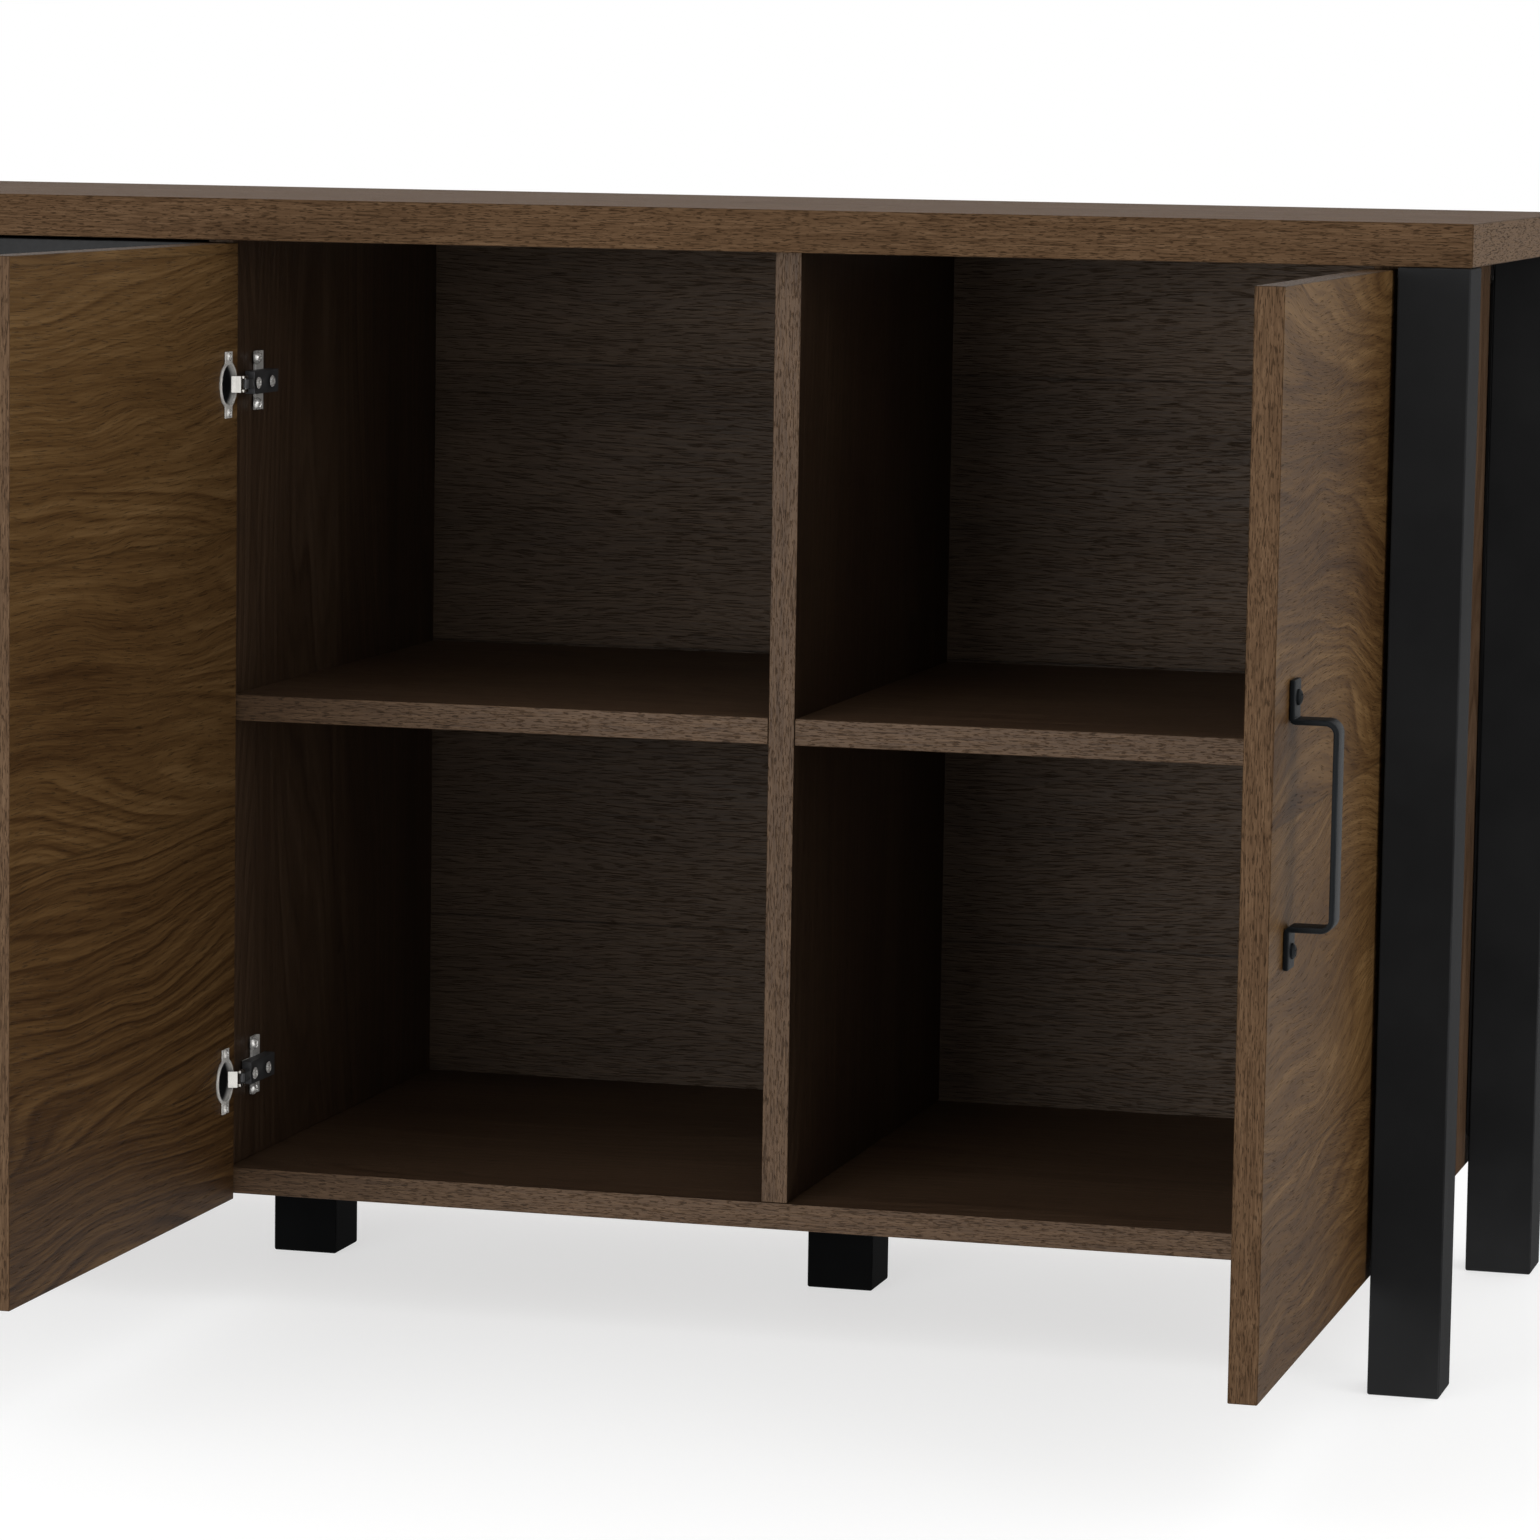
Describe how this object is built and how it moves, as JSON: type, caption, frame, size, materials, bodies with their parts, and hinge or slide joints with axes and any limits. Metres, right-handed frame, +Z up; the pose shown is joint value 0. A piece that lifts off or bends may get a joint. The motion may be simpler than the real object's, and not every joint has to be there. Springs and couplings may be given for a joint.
{
  "type": "sideboard",
  "caption": "Walnut sideboard with open cube compartments behind hinged overlay doors, a bay of black-fronted drawers and square black legs.",
  "frame": {"origin": "on the floor, in the middle of the footprint with both doors open at a right angle and the drawers shut", "axes": "+X along the front to the viewer's right, +Y from front to back, +Z up"},
  "size_m": [1.175, 0.767, 0.679],
  "materials": {
    "walnut_laminate": "dark walnut melamine, satin",
    "black_laminate": "matt black laminate",
    "black_lacquer": "matt black lacquer",
    "printed_hardboard": "printed hardboard",
    "drawer_board": "dark grey melamine",
    "black_metal": "black powder coat",
    "nickel": "satin nickel plate",
    "anthracite_steel": "dark plated steel",
    "grey_plastic": "moulded"
  },
  "bodies": {
    "carcass": {"back_panel": "printed_hardboard", "bottom_panel": "walnut_laminate", "cube_divider": "walnut_laminate", "drawer_partition": "walnut_laminate", "front_left_leg": "black_lacquer", "front_right_leg": "black_lacquer", "left_lower_hinge_arm": "anthracite_steel", "left_lower_hinge_plate": "nickel", "left_middle_foot": "black_lacquer", "left_shelf": "walnut_laminate", "left_side_panel": "walnut_laminate", "left_upper_hinge_arm": "anthracite_steel", "left_upper_hinge_plate": "nickel", "lower_drawer_left_runner": "grey_plastic", "lower_drawer_right_runner": "grey_plastic", "middle_drawer_left_runner": "grey_plastic", "middle_drawer_right_runner": "grey_plastic", "rear_left_leg": "black_lacquer", "rear_right_leg": "black_lacquer", "right_lower_hinge_arm": "anthracite_steel", "right_lower_hinge_plate": "nickel", "right_middle_foot": "black_lacquer", "right_shelf": "walnut_laminate", "right_side_panel": "walnut_laminate", "right_upper_hinge_arm": "anthracite_steel", "right_upper_hinge_plate": "nickel", "top_panel": "walnut_laminate", "upper_drawer_left_runner": "grey_plastic", "upper_drawer_right_runner": "grey_plastic"},
    "left_door": {"left_door_handle": "black_metal", "left_door_handle_lower_screw": "black_metal", "left_door_handle_upper_screw": "black_metal", "left_door_panel": "walnut_laminate", "left_lower_hinge_cup": "nickel", "left_upper_hinge_cup": "nickel"},
    "left_hinge_links": {"left_lower_hinge_link": "nickel", "left_upper_hinge_link": "nickel"},
    "right_door": {"right_door_handle": "black_metal", "right_door_handle_lower_screw": "black_metal", "right_door_handle_upper_screw": "black_metal", "right_door_panel": "walnut_laminate", "right_lower_hinge_cup": "nickel", "right_upper_hinge_cup": "nickel"},
    "right_hinge_links": {"right_lower_hinge_link": "nickel", "right_upper_hinge_link": "nickel"},
    "upper_drawer": {"upper_drawer_bottom": "printed_hardboard", "upper_drawer_box": "drawer_board", "upper_drawer_front": "black_laminate", "upper_drawer_handle": "black_metal"},
    "middle_drawer": {"middle_drawer_bottom": "printed_hardboard", "middle_drawer_box": "drawer_board", "middle_drawer_front": "black_laminate", "middle_drawer_handle": "black_metal"},
    "lower_drawer": {"lower_drawer_bottom": "printed_hardboard", "lower_drawer_box": "drawer_board", "lower_drawer_front": "black_laminate", "lower_drawer_handle": "black_metal"}
  },
  "joints": [
    {"name": "left_door_swing", "type": "hinge", "parent": "carcass", "child": "left_door", "pos_m": [-0.175, -0.0265, 0.359], "axis": [0, 0, 1], "range_deg": [0, 90]},
    {"name": "left_link_swing", "type": "hinge", "parent": "carcass", "child": "left_hinge_links", "pos_m": [-0.15906, -0.02223, 0.359], "axis": [0, 0, 1], "range_deg": [-80, 0]},
    {"name": "right_door_swing", "type": "hinge", "parent": "carcass", "child": "right_door", "pos_m": [0.5365, -0.0265, 0.359], "axis": [0, 0, -1], "range_deg": [0, 90]},
    {"name": "right_link_swing", "type": "hinge", "parent": "carcass", "child": "right_hinge_links", "pos_m": [0.52056, -0.02223, 0.359], "axis": [0, 0, -1], "range_deg": [-80, 0]},
    {"name": "upper_drawer_slide", "type": "slide", "parent": "carcass", "child": "upper_drawer", "axis": [0, -1, 0], "range_m": [0, 0.26]},
    {"name": "middle_drawer_slide", "type": "slide", "parent": "carcass", "child": "middle_drawer", "axis": [0, -1, 0], "range_m": [0, 0.26]},
    {"name": "lower_drawer_slide", "type": "slide", "parent": "carcass", "child": "lower_drawer", "axis": [0, -1, 0], "range_m": [0, 0.26]}
  ],
  "couplings": [
    {"joint": "left_link_swing", "follows": "left_door_swing", "ratio": -0.8888},
    {"joint": "right_link_swing", "follows": "right_door_swing", "ratio": -0.8888}
  ]
}
